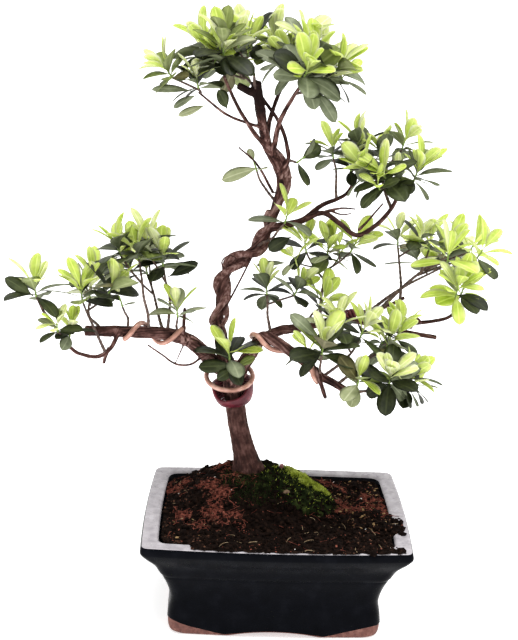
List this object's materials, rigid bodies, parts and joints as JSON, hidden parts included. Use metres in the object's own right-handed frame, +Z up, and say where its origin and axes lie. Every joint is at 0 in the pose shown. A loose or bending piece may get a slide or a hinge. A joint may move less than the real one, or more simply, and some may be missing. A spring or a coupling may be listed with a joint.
{
  "type": "potted azalea bonsai",
  "caption": "Small azalea bonsai with a winding twisted trunk, wired boughs and tufts of oval leaves, in a dark glazed rectangular pot filled with mounded soil and moss.",
  "frame": {"origin": "on the ground under the middle of the whole plant's box", "axes": "+Z up, +Y to the back of the pot, +X to the right as the plant is seen from its front"},
  "size_m": [0.2914, 0.1718, 0.359],
  "materials": {
    "glaze": "gloss",
    "soil": "rough",
    "moss": "rough",
    "bark": "rough",
    "copper_wire": "satin",
    "red_wire": "satin",
    "leaf": "satin"
  },
  "bodies": {
    "root": {"pot": "glaze", "soil": "soil", "trunk": "bark", "second_stem": "bark", "left_bough": "bark", "left_low_branch": "bark", "left_under_twig": "bark", "right_lower_bough": "bark", "right_upper_bough": "bark", "right_far_bough": "bark", "right_cut_stub": "bark", "upper_right_bough": "bark", "upper_right_branch": "bark", "crown_left_bough": "bark", "crown_right_bough": "bark", "crown_mid_bough": "bark", "crown_side_bough": "bark", "moss": "moss", "wire_left": "copper_wire", "wire_right": "copper_wire", "wire_fork_red": "red_wire", "wire_fork": "copper_wire", "left_tip": "leaf", "left_low": "leaf", "left_far": "leaf", "left_bud": "leaf", "left_mid": "leaf", "left_inner": "leaf", "left_near": "leaf", "left_back_far": "leaf", "left_back_near": "leaf", "top_side": "leaf", "top_left": "leaf", "top_peak": "leaf", "top_mid": "leaf", "top_right": "leaf", "top_under": "leaf", "top_back_left": "leaf", "top_back_right": "leaf", "trunk_tuft": "leaf", "side_twig": "leaf", "upper_small": "leaf", "upper_dark": "leaf", "upper_right": "leaf", "upper_back": "leaf", "trunk_front": "leaf", "fork_tuft": "leaf", "centre_left": "leaf", "centre_high": "leaf", "centre_front": "leaf", "front": "leaf", "front_right": "leaf", "lower_mid": "leaf", "lower_tip": "leaf", "lower_right": "leaf", "right_left": "leaf", "right_high": "leaf", "right_low": "leaf", "right_back": "leaf"}
  },
  "joints": []
}
